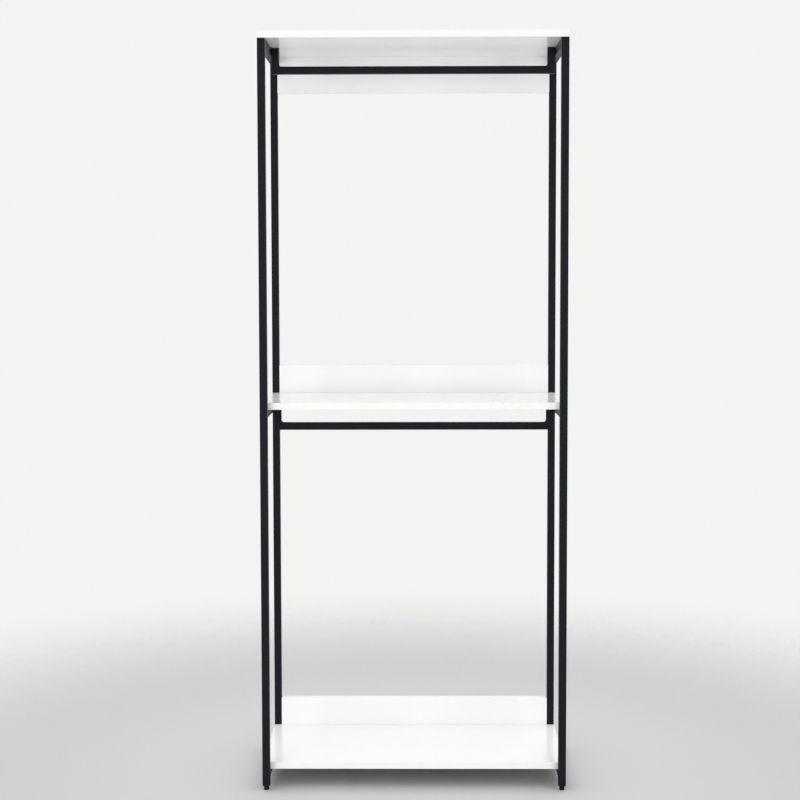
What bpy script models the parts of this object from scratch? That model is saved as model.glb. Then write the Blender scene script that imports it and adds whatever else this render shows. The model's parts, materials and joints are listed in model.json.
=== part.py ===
"""Open clothes rack: a square steel tube frame, white boards, two hanging rails and four levelling feet.

Metres, +Z up. The origin is on the floor under the middle of the rack, and the front faces -Y.
"""

import math

import bmesh
import bpy
from mathutils import Matrix, Vector

# Overall frame
FRAME_WIDTH = 0.800
FRAME_DEPTH = 0.400
POST_TOP = 1.9630
MIDDLE_RAIL_TOP = 1.0057
LOWER_RAIL_TOP = 0.0517

# Square steel tube
TUBE_SIDE = 0.020
TUBE_WALL = 0.0012
TUBE_INNER_CORNER = 0.0006
CORNER_STEPS = 3

# Clearance left between two pieces that touch on the real rack
SEAT_GAP = 0.0003

# Boards
BOARD_THICKNESS = 0.018
BACK_BOARD_HEIGHT = 0.100
BACK_BOARD_RISE = 0.078

# Hanging rails: from the top of a side rail down to the underside of the hanging rail
RAIL_DROP = 0.069

# Levelling feet
PAD_HEIGHT = 0.006
PAD_DIAMETER = 0.0136
PAD_TOP_DIAMETER = 0.0140
PAD_CHAMFER = 0.0008
PIN_DIAMETER = 0.005
PIN_LENGTH = 0.003
HEX_HEIGHT = 0.005
HEX_ACROSS_FLATS = 0.013
STUD_DIAMETER = 0.008
STUD_LENGTH = 0.034
STUD_CHAMFER = 0.001
PLUG_FLANGE = 0.002
PLUG_STEM = 0.024

# Screws that hold the shelves, driven up through the side rails
SHELF_SCREW_DIAMETER = 0.004
SHELF_SCREW_HEAD = 0.008
SHELF_SCREW_HEAD_HEIGHT = 0.0024
SHELF_SCREW_COVER = 0.006
SHELF_SCREW_FROM_POST = 0.060

# Countersunk screws that hold the back boards
BACK_SCREW_DIAMETER = 0.004
BACK_SCREW_HEAD = 0.008
BACK_SCREW_BITE = 0.028
BACK_SCREW_FROM_POST = 0.110
BACK_SCREW_SINK = 0.0005

# Bolts and nuts that hold the drops of the hanging rails
BOLT_DIAMETER = 0.006
BOLT_HEAD = 0.0105
BOLT_HEAD_HEIGHT = 0.0033
BOLT_PAST_NUT = 0.0015
NUT_ACROSS_FLATS = 0.010
NUT_HEIGHT = 0.005

# Facets on round pieces, the flat share of a rounded head's top, and the length of a screw's point
ROUND_STEPS = 12
HEAD_STEPS = 3
HEAD_FLAT_SHARE = 0.5
POINT_PER_DIAMETER = 1.0

# Worked out from the sizes above
TUBE_BORE = TUBE_SIDE - 2 * TUBE_WALL
TUBE_CORNER = TUBE_INNER_CORNER + TUBE_WALL
POST_X = FRAME_WIDTH / 2 - TUBE_SIDE / 2
POST_Y = FRAME_DEPTH / 2 - TUBE_SIDE / 2
INNER_X = FRAME_WIDTH / 2 - TUBE_SIDE
INNER_Y = FRAME_DEPTH / 2 - TUBE_SIDE
HEX_BOTTOM = PAD_HEIGHT + SEAT_GAP
PLUG_BOTTOM = HEX_BOTTOM + HEX_HEIGHT + SEAT_GAP
POST_BOTTOM = PLUG_BOTTOM + PLUG_FLANGE + SEAT_GAP
DROP_X = INNER_X - SEAT_GAP - TUBE_SIDE / 2
HANGING_RAIL_LENGTH = 2 * (DROP_X - TUBE_SIDE / 2 - SEAT_GAP)

SIDES = {"left": -1, "right": 1}
ENDS = {"front": -1, "rear": 1}
LEVELS = {"upper": POST_TOP, "middle": MIDDLE_RAIL_TOP, "lower": LOWER_RAIL_TOP}
HANGING_LEVELS = {"upper": POST_TOP, "lower": MIDDLE_RAIL_TOP}

ALONG_X = (0, math.pi / 2, 0)
ALONG_Y = (-math.pi / 2, 0, 0)
UPRIGHT = (0, 0, 0)


def clear_scene():
    for old in list(bpy.data.objects):
        bpy.data.objects.remove(old)


def finish(name, colour, roughness, metallic):
    """A Principled material of one linear colour."""
    material = bpy.data.materials.new(name)
    material.use_nodes = True
    shader = material.node_tree.nodes["Principled BSDF"]
    shader.inputs["Base Color"].default_value = (*colour, 1)
    shader.inputs["Roughness"].default_value = roughness
    shader.inputs["Metallic"].default_value = metallic
    material.diffuse_color = (*colour, 1)
    return material


def add_empty(name, location):
    empty = bpy.data.objects.new(name, None)
    empty.location = location
    bpy.context.collection.objects.link(empty)
    return empty


def add_piece(name, shape, material, location=(0, 0, 0), rotation=UPRIGHT, parent=None):
    """One object from a bmesh, placed in the world and hung on its parent where it lies."""
    mesh = bpy.data.meshes.new(name)
    shape.to_mesh(mesh)
    shape.free()
    mesh.materials.append(material)
    mesh.shade_smooth()
    mesh.set_sharp_from_angle(angle=math.radians(30))
    piece = bpy.data.objects.new(name, mesh)
    piece.location = location
    piece.rotation_euler = rotation
    bpy.context.collection.objects.link(piece)
    if parent is not None:
        piece.parent = parent
        piece.matrix_parent_inverse = Matrix.Translation(parent.location).inverted()
    return piece


def add_tool(name, shape, location=(0, 0, 0), rotation=UPRIGHT):
    """A helper solid for a Boolean, which is drawn as wires and isn't rendered."""
    mesh = bpy.data.meshes.new(name)
    shape.to_mesh(mesh)
    shape.free()
    tool = bpy.data.objects.new(name, mesh)
    tool.location = location
    tool.rotation_euler = rotation
    tool.hide_render = True
    tool.display_type = "WIRE"
    bpy.context.collection.objects.link(tool)
    return tool


def combine(piece, tool, operation):
    modifier = piece.modifiers.new(tool.name, "BOOLEAN")
    modifier.operation = operation
    modifier.solver = "EXACT"
    modifier.object = tool


def rounded_square(side, radius):
    """Outline of a square whose corners are arcs, anticlockwise."""
    reach = side / 2 - radius
    points = []
    for quarter in range(4):
        start = quarter * math.pi / 2
        centre_x = math.copysign(reach, math.cos(start + math.pi / 4))
        centre_y = math.copysign(reach, math.sin(start + math.pi / 4))
        for step in range(CORNER_STEPS + 1):
            angle = start + step * math.pi / 2 / CORNER_STEPS
            points.append((centre_x + radius * math.cos(angle), centre_y + radius * math.sin(angle)))
    return points


def hexagon(across_flats):
    """Outline of a hexagon with two corners on the Y axis."""
    reach = across_flats / 2 / math.cos(math.pi / 6)
    angles = [math.pi / 6 + k * math.pi / 3 for k in range(6)]
    return [(reach * math.cos(angle), reach * math.sin(angle)) for angle in angles]


def raise_faces(shape, faces, height):
    grown = bmesh.ops.extrude_face_region(shape, geom=faces)["geom"]
    moved = [item for item in grown if isinstance(item, bmesh.types.BMVert)]
    bmesh.ops.translate(shape, verts=moved, vec=(0, 0, height))
    bmesh.ops.recalc_face_normals(shape, faces=shape.faces)


def prism(outline, height):
    """A solid of this outline, from local height 0 up."""
    shape = bmesh.new()
    face = shape.faces.new([shape.verts.new((x, y, 0)) for x, y in outline])
    raise_faces(shape, [face], height)
    return shape


def tube(length):
    """A square tube with open ends, centred on its own length, along local Z."""
    shape = bmesh.new()
    edges = []
    for side, corner in ((TUBE_SIDE, TUBE_CORNER), (TUBE_BORE, TUBE_INNER_CORNER)):
        loop = [shape.verts.new((x, y, -length / 2)) for x, y in rounded_square(side, corner)]
        edges += [shape.edges.new((loop[k - 1], loop[k])) for k in range(len(loop))]
    ring = bmesh.ops.bridge_loops(shape, edges=edges)["faces"]
    raise_faces(shape, ring, length)
    return shape


def block(width, depth, height):
    """A plain board, centred."""
    shape = bmesh.new()
    bmesh.ops.create_cube(shape, size=1, matrix=Matrix.Diagonal((width, depth, height, 1)))
    return shape


def turned(profile):
    """A solid turned about local Z from (radius, height) points that start and end on the axis."""
    shape = bmesh.new()
    points = [shape.verts.new((radius, 0, height)) for radius, height in profile]
    edges = [shape.edges.new(pair) for pair in zip(points, points[1:])]
    bmesh.ops.spin(
        shape,
        geom=points + edges,
        cent=(0, 0, 0),
        axis=(0, 0, 1),
        angle=2 * math.pi,
        steps=ROUND_STEPS,
        use_merge=True,
    )
    bmesh.ops.remove_doubles(shape, verts=shape.verts, dist=1e-6)
    bmesh.ops.recalc_face_normals(shape, faces=shape.faces)
    return shape


def rounded_head(radius, height):
    """The upper profile of a button head: from the axis, over a quarter ellipse, to the seat."""
    flat = radius * HEAD_FLAT_SHARE
    arc = []
    for step in range(HEAD_STEPS + 1):
        angle = math.pi / 2 * (1 - step / HEAD_STEPS)
        arc.append((flat + (radius - flat) * math.cos(angle), height * math.sin(angle)))
    return [(0, height), *arc]


def headed_screw(shank, length, head, head_height, point):
    """A screw whose head sits on local height 0, with its shank below."""
    return turned(
        [
            *rounded_head(head / 2, head_height),
            (shank / 2, 0),
            (shank / 2, point - length),
            (0, -length),
        ]
    )


def countersunk(length, grow, mouth):
    """A countersunk screw with its head at local height 0, or its hole: grown all round, with a mouth above."""
    head = BACK_SCREW_HEAD / 2 + grow
    shank = BACK_SCREW_DIAMETER / 2 + grow
    point = BACK_SCREW_DIAMETER * POINT_PER_DIAMETER
    return turned(
        [
            (0, mouth),
            (head, mouth),
            (head, 0),
            (shank, shank - head),
            (shank, point - length - grow),
            (0, -length - grow),
        ]
    )


def rod_between(start, end, diameter):
    """A plain round cutter between two world points."""
    start, end = Vector(start), Vector(end)
    turn = (end - start).to_track_quat("Z", "Y").to_matrix().to_4x4()
    shape = bmesh.new()
    bmesh.ops.create_cone(
        shape,
        cap_ends=True,
        segments=ROUND_STEPS,
        radius1=diameter / 2,
        radius2=diameter / 2,
        depth=(end - start).length,
        matrix=Matrix.Translation((start + end) / 2) @ turn,
    )
    return shape


def facing(direction):
    """The rotation that points local Z along a direction."""
    return Vector(direction).to_track_quat("Z", "Y").to_euler()


def drill(piece, name, start, end, diameter):
    combine(piece, add_tool(name, rod_between(start, end, diameter)), "DIFFERENCE")


def add_posts(frame, coat):
    length = POST_TOP - POST_BOTTOM
    for end, y_sign in ENDS.items():
        for side, x_sign in SIDES.items():
            place = (x_sign * POST_X, y_sign * POST_Y, POST_BOTTOM + length / 2)
            add_piece(f"post_{end}_{side}", tube(length), coat, place, parent=frame)


def add_side_rails(frame, coat):
    """Six rails from front post to rear post, with a shelf on each pair."""
    rails = {}
    for level, top in LEVELS.items():
        for side, x_sign in SIDES.items():
            place = (x_sign * POST_X, 0, top - TUBE_SIDE / 2)
            shape = tube(2 * (INNER_Y - SEAT_GAP))
            rails[level, side] = add_piece(f"side_rail_{level}_{side}", shape, coat, place, ALONG_Y, frame)
    return rails


def add_shelves(frame, melamine):
    """The upper shelf caps the posts, the other two lie between the front and rear posts."""
    shelves = {}
    for level, top in LEVELS.items():
        depth = FRAME_DEPTH if level == "upper" else 2 * (INNER_Y - SEAT_GAP)
        place = (0, 0, top + SEAT_GAP + BOARD_THICKNESS / 2)
        shape = block(FRAME_WIDTH, depth, BOARD_THICKNESS)
        shelves[level] = add_piece(f"shelf_{level}", shape, melamine, place, parent=frame)
    return shelves


def add_shelf_screws(frame, rails, shelves, black_steel):
    """Four screws a shelf, each up through both walls of a side rail into the board."""
    length = SEAT_GAP + TUBE_SIDE + SEAT_GAP + BOARD_THICKNESS - SHELF_SCREW_COVER
    point = SHELF_SCREW_DIAMETER * POINT_PER_DIAMETER
    hole = SHELF_SCREW_DIAMETER + 2 * SEAT_GAP
    for level, top in LEVELS.items():
        for side, x_sign in SIDES.items():
            for end, y_sign in ENDS.items():
                name = f"shelf_screw_{level}_{side}_{end}"
                x = x_sign * POST_X
                y = y_sign * (INNER_Y - SHELF_SCREW_FROM_POST)
                seat = top - TUBE_SIDE - SEAT_GAP
                shape = headed_screw(
                    SHELF_SCREW_DIAMETER, length, SHELF_SCREW_HEAD, SHELF_SCREW_HEAD_HEIGHT, point
                )
                add_piece(name, shape, black_steel, (x, y, seat), facing((0, 0, -1)), frame)
                through = (x, y, top + SEAT_GAP / 2)
                drill(rails[level, side], f"cut_{name}_rail", (x, y, seat), through, hole)
                tip = (x, y, seat + length + SEAT_GAP)
                drill(shelves[level], f"cut_{name}_shelf", through, tip, hole)


def add_back_boards(frame, melamine):
    """A board between the rear posts at each shelf: under the upper one, standing up behind the others."""
    boards = {}
    for level, top in LEVELS.items():
        under = top + SEAT_GAP
        highest = top if level == "upper" else under + BOARD_THICKNESS + BACK_BOARD_RISE
        place = (0, INNER_Y + BOARD_THICKNESS / 2, highest - BACK_BOARD_HEIGHT / 2)
        shape = block(2 * (INNER_X - SEAT_GAP), BOARD_THICKNESS, BACK_BOARD_HEIGHT)
        boards[level] = add_piece(f"back_board_{level}", shape, melamine, place, parent=frame)
    return boards


def add_back_screws(frame, shelves, boards, zinc):
    """Two countersunk screws a board: down through the upper shelf, or forward into a shelf's rear edge."""
    length = BOARD_THICKNESS + SEAT_GAP + BACK_SCREW_BITE
    mouth = BACK_SCREW_SINK + SEAT_GAP
    for level, top in LEVELS.items():
        shelf_middle = top + SEAT_GAP + BOARD_THICKNESS / 2
        for side, x_sign in SIDES.items():
            name = f"back_screw_{level}_{side}"
            x = x_sign * (INNER_X - BACK_SCREW_FROM_POST)
            if level == "upper":
                outward = Vector((0, 0, 1))
                surface = Vector((x, INNER_Y + BOARD_THICKNESS / 2, shelf_middle + BOARD_THICKNESS / 2))
            else:
                outward = Vector((0, 1, 0))
                surface = Vector((x, INNER_Y + BOARD_THICKNESS, shelf_middle))
            seat = surface - outward * BACK_SCREW_SINK
            add_piece(name, countersunk(length, 0, 0), zinc, seat, facing(outward), frame)
            tool = add_tool(f"cut_{name}", countersunk(length, SEAT_GAP, mouth), seat, facing(outward))
            combine(shelves[level], tool, "DIFFERENCE")
            combine(boards[level], tool, "DIFFERENCE")


def add_hanging_rails(frame, rails, coat, black_steel):
    """Each rail hangs between two short drops, which are bolted to the inner faces of the side rails."""
    bolt_hole = BOLT_DIAMETER + 2 * SEAT_GAP
    for level, top in HANGING_LEVELS.items():
        rail_level = "upper" if level == "upper" else "middle"
        low = top - RAIL_DROP
        place = (0, 0, low + TUBE_SIDE / 2)
        add_piece(f"hanging_rail_{level}", tube(HANGING_RAIL_LENGTH), coat, place, ALONG_X, frame)
        for side, x_sign in SIDES.items():
            drop_x = x_sign * DROP_X
            shape = prism(rounded_square(TUBE_SIDE, TUBE_CORNER), RAIL_DROP)
            drop = add_piece(f"rail_drop_{level}_{side}", shape, coat, (drop_x, 0, low), parent=frame)
            bore = prism(rounded_square(TUBE_BORE, TUBE_INNER_CORNER), RAIL_DROP)
            bore_place = (drop_x, 0, low + TUBE_WALL)
            combine(drop, add_tool(f"cut_bore_{level}_{side}", bore, bore_place), "DIFFERENCE")

            bolt_z = top - TUBE_SIDE / 2
            head_x = x_sign * (FRAME_WIDTH / 2 + SEAT_GAP)
            nut_x = x_sign * (DROP_X + TUBE_BORE / 2 - SEAT_GAP)
            tip_x = nut_x - x_sign * (NUT_HEIGHT + BOLT_PAST_NUT)
            shape = headed_screw(BOLT_DIAMETER, abs(head_x - tip_x), BOLT_HEAD, BOLT_HEAD_HEIGHT, 0)
            outward = facing((x_sign, 0, 0))
            add_piece(f"rail_bolt_{level}_{side}", shape, black_steel, (head_x, 0, bolt_z), outward, frame)
            nut_place = (nut_x - x_sign * NUT_HEIGHT, 0, bolt_z)
            shape = prism(hexagon(NUT_ACROSS_FLATS), NUT_HEIGHT)
            nut = add_piece(f"rail_nut_{level}_{side}", shape, black_steel, nut_place, outward, frame)

            start, end = (head_x, 0, bolt_z), (drop_x, 0, bolt_z)
            drill(rails[rail_level, side], f"cut_bolt_rail_{level}_{side}", start, end, bolt_hole)
            drill(drop, f"cut_bolt_drop_{level}_{side}", start, end, bolt_hole)
            drill(nut, f"cut_bolt_nut_{level}_{side}", start, end, bolt_hole)


def add_feet(frame, plastic, black_steel):
    """Under each post: a plug pressed into the tube, a stud screwed into it and a pad on the stud's pin."""
    for end, y_sign in ENDS.items():
        for side, x_sign in SIDES.items():
            spot = Vector((x_sign * POST_X, y_sign * POST_Y, 0))
            foot = add_empty(f"foot_{end}_{side}", spot)
            add_foot_plug(f"{end}_{side}", spot, plastic, frame)
            add_foot_stud(f"{end}_{side}", spot, black_steel, foot)
            add_foot_pad(f"{end}_{side}", spot, plastic, foot)


def add_foot_plug(where, spot, plastic, parent):
    low = spot + Vector((0, 0, PLUG_BOTTOM))
    flange = prism(rounded_square(TUBE_SIDE, TUBE_CORNER), PLUG_FLANGE)
    plug = add_piece(f"foot_plug_{where}", flange, plastic, low, parent=parent)
    stem_side = TUBE_BORE - 2 * SEAT_GAP
    stem = prism(rounded_square(stem_side, TUBE_INNER_CORNER), PLUG_FLANGE / 2 + SEAT_GAP + PLUG_STEM)
    stem_place = low + Vector((0, 0, PLUG_FLANGE / 2))
    combine(plug, add_tool(f"add_stem_{where}", stem, stem_place), "UNION")
    bore_end = low + Vector((0, 0, PLUG_FLANGE + SEAT_GAP + PLUG_STEM + PLUG_FLANGE))
    drill(plug, f"cut_thread_{where}", spot, bore_end, STUD_DIAMETER + 2 * SEAT_GAP)


def add_foot_stud(where, spot, black_steel, parent):
    hex_low = HEX_BOTTOM
    hex_top = HEX_BOTTOM + HEX_HEIGHT
    shape = prism(hexagon(HEX_ACROSS_FLATS), HEX_HEIGHT)
    bmesh.ops.translate(shape, verts=shape.verts, vec=(0, 0, hex_low))
    stud = add_piece(f"foot_stud_{where}", shape, black_steel, spot, parent=parent)
    pin_low = hex_low - PIN_LENGTH
    shaft_top = hex_top + STUD_LENGTH
    shaft = turned(
        [
            (0, shaft_top),
            (STUD_DIAMETER / 2 - STUD_CHAMFER, shaft_top),
            (STUD_DIAMETER / 2, shaft_top - STUD_CHAMFER),
            (STUD_DIAMETER / 2, hex_top - HEX_HEIGHT / 2),
            (PIN_DIAMETER / 2, hex_low + HEX_HEIGHT / 4),
            (PIN_DIAMETER / 2, pin_low),
            (0, pin_low),
        ]
    )
    combine(stud, add_tool(f"add_shaft_{where}", shaft, spot), "UNION")


def add_foot_pad(where, spot, plastic, parent):
    socket = PIN_DIAMETER / 2 + SEAT_GAP
    socket_floor = HEX_BOTTOM - PIN_LENGTH - SEAT_GAP
    shape = turned(
        [
            (0, socket_floor),
            (socket, socket_floor),
            (socket, PAD_HEIGHT),
            (PAD_TOP_DIAMETER / 2, PAD_HEIGHT),
            (PAD_DIAMETER / 2, PAD_CHAMFER),
            (PAD_DIAMETER / 2 - PAD_CHAMFER, 0),
            (0, 0),
        ]
    )
    add_piece(f"foot_pad_{where}", shape, plastic, spot, parent=parent)


def build_rack():
    clear_scene()
    coat = finish("black_powder_coat", (0.017, 0.018, 0.021), 0.45, 0.0)
    melamine = finish("white_melamine", (0.87, 0.87, 0.85), 0.35, 0.0)
    plastic = finish("black_plastic", (0.02, 0.02, 0.021), 0.5, 0.0)
    black_steel = finish("black_oxide_steel", (0.05, 0.05, 0.055), 0.4, 1.0)
    zinc = finish("zinc_plated_steel", (0.6, 0.61, 0.62), 0.35, 1.0)

    frame = add_empty("rack_frame", (0, 0, 0))
    add_posts(frame, coat)
    rails = add_side_rails(frame, coat)
    shelves = add_shelves(frame, melamine)
    boards = add_back_boards(frame, melamine)
    add_shelf_screws(frame, rails, shelves, black_steel)
    add_back_screws(frame, shelves, boards, zinc)
    add_hanging_rails(frame, rails, coat, black_steel)
    add_feet(frame, plastic, black_steel)


build_rack()
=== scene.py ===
# %% [markdown]
# # An open clothes rack, dressed for its picture
#
# The rack is a black steel frame with three white shelves, three low back boards and two hanging rails.
# Its construction is already fixed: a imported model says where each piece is, how big it is and which foot
# turns. This lesson dresses that frame. Every plain solid is replaced by a finer surface of the same size:
# tubes with rolled corners, boards with glued edge bands, screws with threads and recesses. Then each
# surface gets the finish that the real material has.
#
# We could model by hand on top of the frame. We work the surfaces out with arrays instead, because places
# and lengths then come from the frame's own boxes, and nothing has to be fitted by eye.

# %% Load the frame
import json

import bpy
import numpy as np
from mathutils import Matrix, Vector

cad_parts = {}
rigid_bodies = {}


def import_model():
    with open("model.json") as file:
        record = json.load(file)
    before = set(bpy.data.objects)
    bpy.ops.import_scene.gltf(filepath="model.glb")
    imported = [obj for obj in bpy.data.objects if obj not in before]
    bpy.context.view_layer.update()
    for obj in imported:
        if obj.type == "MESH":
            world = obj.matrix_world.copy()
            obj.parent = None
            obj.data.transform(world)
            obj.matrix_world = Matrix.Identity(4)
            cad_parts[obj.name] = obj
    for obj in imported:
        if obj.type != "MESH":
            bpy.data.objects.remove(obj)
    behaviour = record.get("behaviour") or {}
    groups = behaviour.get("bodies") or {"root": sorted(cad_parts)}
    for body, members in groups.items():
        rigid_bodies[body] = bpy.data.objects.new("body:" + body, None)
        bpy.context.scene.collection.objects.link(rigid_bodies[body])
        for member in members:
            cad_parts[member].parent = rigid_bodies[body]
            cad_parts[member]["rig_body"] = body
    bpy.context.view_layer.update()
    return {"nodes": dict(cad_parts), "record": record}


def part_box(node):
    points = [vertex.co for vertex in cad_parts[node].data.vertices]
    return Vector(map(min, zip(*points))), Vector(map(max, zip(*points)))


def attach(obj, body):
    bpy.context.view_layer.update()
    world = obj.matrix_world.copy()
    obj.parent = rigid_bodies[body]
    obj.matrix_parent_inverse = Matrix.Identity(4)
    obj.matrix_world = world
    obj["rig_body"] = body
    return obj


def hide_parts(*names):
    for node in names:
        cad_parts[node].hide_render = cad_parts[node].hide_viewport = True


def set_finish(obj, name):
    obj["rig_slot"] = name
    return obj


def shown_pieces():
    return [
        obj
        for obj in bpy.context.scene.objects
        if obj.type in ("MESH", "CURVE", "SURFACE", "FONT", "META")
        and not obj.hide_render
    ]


MM_PER_METRE = 1000

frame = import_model()
slot_of = {part["node"]: part["material_slot"] for part in frame["record"]["subparts"]}


def in_mm(metres):
    """A length in millimetres, rounded for printing."""
    return round(MM_PER_METRE * metres, 1)


# %% [markdown]
# ## The camera
#
# The picture was taken from a little over four metres away, at chest height, almost square to the front.
# The values come from fitting straight edges of the rack: posts, boards and rails. The viewpoint decides
# how much of each shelf's top or underside shows, so it is kept exactly.
#
# A large lens shift would keep the posts parallel in the frame. But the shift stays when the camera goes
# round, and there it would push the rack's top out of the frame. So the camera aims slightly down instead,
# and a small shift does the rest.

# %% Camera
CAMERA_PLACE = (0.0057, -4.3755, 1.3620)
CAMERA_PAN, CAMERA_TILT, CAMERA_ROLL = np.radians([-0.558, -3.797, -0.114])
CAMERA_LENS_MM = 72.655
CAMERA_SHIFT = -0.025

camera = bpy.data.objects.new("camera", bpy.data.cameras.new("camera"))
camera.data.lens = CAMERA_LENS_MM
camera.data.shift_y = CAMERA_SHIFT
camera.matrix_world = (
    Matrix.Translation(CAMERA_PLACE)
    @ Matrix.Rotation(-CAMERA_PAN, 4, "Z")
    @ Matrix.Rotation(np.pi / 2 + CAMERA_TILT, 4, "X")
    @ Matrix.Rotation(CAMERA_ROLL, 4, "Z")
)
bpy.context.scene.collection.objects.link(camera)
bpy.context.scene.camera = camera
print("camera:", -CAMERA_PLACE[1], "m in front,", CAMERA_PLACE[2], "m up")

# %% Where a point lands
PICTURE_SIDE = 800


def pixel(point):
    """Where a point lands in the picture: its place seen from the camera, divided by its distance and
    scaled by the lens, in pixels from the upper left corner."""
    seen = camera.matrix_world.inverted() @ Vector(point)
    scale = PICTURE_SIDE * camera.data.lens / camera.data.sensor_width
    right = PICTURE_SIDE / 2 + scale * seen.x / -seen.z
    down = PICTURE_SIDE / 2 - scale * seen.y / -seen.z + PICTURE_SIDE * camera.data.shift_y
    return round(right, 1), round(down, 1)


low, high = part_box("post_front_left")
print("left front post, foot and top:", pixel((low.x, low.y, 0)), pixel((low.x, low.y, high.z)))

# %% [markdown]
# ## From a grid of points to a piece
#
# Nearly every piece here is one closed outline carried along a line: a square round a post, a circle round
# a screw. So each is a grid of points with rows (along the line) and columns (round the outline). Four
# neighbours make a quad. At the two ends one polygon closes the shape, or, for a pipe with a bore, the
# last row joins the first again. A bevel modifier on plain boxes would give similar corners, but not the
# bores and threads.

# %% Grid to piece
SHARP_ANGLE = np.radians(35)


def grid_faces(rows, columns, ring):
    """A quad for each cell between one row and the next, with the columns closed on themselves. In a ring
    the last row joins the first one. Otherwise one polygon closes the first row and one the last."""
    index = np.arange(rows * columns).reshape(rows, columns)
    below = index if ring else index[:-1]
    above = np.roll(index, -1, axis=0) if ring else index[1:]
    corners = [below, np.roll(below, -1, axis=1), np.roll(above, -1, axis=1), above]
    quads = np.stack(corners, axis=-1).reshape(-1, len(corners)).tolist()
    ends = [] if ring else [index[0, ::-1].tolist(), index[-1].tolist()]
    return quads + ends


def add_surface(name, points, ring=False):
    """An object from a grid of points, rows by columns by 3, whose place is in its mesh."""
    mesh = bpy.data.meshes.new(name)
    mesh.from_pydata(points.reshape(-1, 3), [], grid_faces(*points.shape[:2], ring))
    mesh.shade_smooth()
    mesh.set_sharp_from_angle(angle=SHARP_ANGLE)
    surface = bpy.data.objects.new(name, mesh)
    bpy.context.scene.collection.objects.link(surface)
    return surface


print("edges of more than", round(np.degrees(SHARP_ANGLE)), "degrees stay sharp")

# %% [markdown]
# ## Handing a piece to the frame
#
# The corners are smooth and the flats must stay flat, so each piece ends with a modifier that lets large
# faces decide the shading. Shading every face flat would be simpler, but then the rounded corners would
# show as facets. After that the piece takes its solid's place: it moves with the same body and takes its
# finish from the same slot.

# %% Piece to frame


def flat_shading(piece):
    """Shades flat faces flat: each corner's normal is an average of its faces, weighted by their area."""
    modifier = piece.modifiers.new("flat_faces", "WEIGHTED_NORMAL")
    modifier.keep_sharp = True


def stand_for(piece, node):
    """The piece replaces a CAD node: it rides on the same body and takes its finish from the same slot."""
    flat_shading(piece)
    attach(piece, frame["nodes"][node]["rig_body"])
    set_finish(piece, slot_of[node])
    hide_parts(node)


print("finish slots:", sorted(set(slot_of.values())))

# %% [markdown]
# ## A rounded outline carried along a profile
#
# Square tube, boards and plugs share one outline, a rectangle with rounded corners. A profile tells, row
# by row, how far that outline moves inwards and how high it sits. Moving inwards by the wall thickness
# gives the bore, and tiny moves at the ends give the broken edges that catch the light. Extruding,
# insetting and bevelling would take three tools for the same shape.
#
# The shape is made upright. To lay it along another axis the three coordinates are rotated in a cycle,
# which turns the shape without mirroring it.

# %% Rounded outline
CORNER_STEPS = 6
TINY = 0.0001
QUADRANTS = np.array([[1, 1], [-1, 1], [-1, -1], [1, -1]])


def corner_angles():
    """The direction that each outline point faces: a quarter turn of small steps at each corner."""
    step = np.linspace(0, np.pi / 2, CORNER_STEPS + 1)
    return (np.arange(len(QUADRANTS))[:, None] * np.pi / 2 + step).ravel()


def carried(size, radius, profile):
    """A rounded rectangle carried along a profile of (inset, height) pairs. A point is its corner's centre
    plus the corner radius times the direction it faces. An inset takes the same amount off each side and
    off the radius."""
    inset, height = np.array(profile, float).T[:, :, None, None]
    angle = corner_angles()
    facing = np.stack([np.cos(angle), np.sin(angle)], axis=-1)
    corner = np.repeat(QUADRANTS, CORNER_STEPS + 1, axis=0)
    arc = np.maximum(radius - inset, TINY)
    outline = corner * (np.array(size) / 2 - inset - arc) + arc * facing
    return np.concatenate([outline, np.broadcast_to(height, (*outline.shape[:2], 1))], axis=-1)


def laid(points, axis, place):
    """Turns upright points so that their height runs along axis 0, 1 or 2, and moves them to a place."""
    return np.roll(points, axis + 1, axis=-1) + np.array(place)


def extent(node):
    """Lowest corner, highest corner and size of a CAD node, as arrays."""
    lowest, highest = (np.array(corner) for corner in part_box(node))
    return lowest, highest, highest - lowest


print("outline points:", len(corner_angles()))

# %% [markdown]
# ## Square tube
#
# The posts, side rails and hanging rails are one stock: 20 mm square tube, rolled from 1.2 mm strip, so
# the outer corners have a radius of 1.8 mm. The frame model stops each rail just short of the tube it is
# welded to. The real weld closes that slot, so the rails run on into the other tube's rounded corner.
# Joining the tubes into one mesh would close it too, but then they would no longer be separate pieces.
#
# Powder thins out on the corners, so each point also stores how much it lies on a corner. The finish reads
# that later and paints the corners paler: partly for the thinner film, and partly as a painted highlight
# along the rounded edges.

# %% Tube shape
TUBE_WALL = 0.0012
TUBE_CORNER = 0.0018
TUBE_RIM = 0.0003


def store_corner(surface, rows):
    """Stores how much each point lies on a corner, as an attribute: the size of the sine of twice its
    direction. That is 1 in the middle of a rounded corner and 0 where the corner meets a flat."""
    corner = np.tile(np.abs(np.sin(2 * corner_angles())), rows)
    surface.data.attributes.new("corner", "FLOAT", "POINT").data.foreach_set("value", corner)


def over_the_rim(length):
    """Profile of a tube from its lower rim up the outside, and over its upper rim to the bore."""
    return [
        (TUBE_RIM, 0),
        (0, TUBE_RIM),
        (0, length - TUBE_RIM),
        (TUBE_RIM, length),
        (TUBE_WALL - TUBE_RIM, length),
        (TUBE_WALL, length - TUBE_RIM),
    ]


def tube(node, run_on=0.0):
    """Open square tube on a node's box: up the outside, over the rim, down the bore and back to the start.
    A run-on makes it that much longer at both ends."""
    lowest, highest, size = extent(node)
    axis = int(np.argmax(size))
    length = size[axis] + 2 * run_on
    profile = over_the_rim(length) + [(TUBE_WALL, TUBE_RIM), (TUBE_WALL - TUBE_RIM, 0)]
    points = carried(np.roll(size, -axis - 1)[:2], TUBE_CORNER, profile)
    start = (lowest + highest) / 2
    start[axis] -= length / 2
    surface = add_surface(f"tube_{node}", laid(points, axis, start), ring=True)
    store_corner(surface, len(profile))
    return surface


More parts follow.
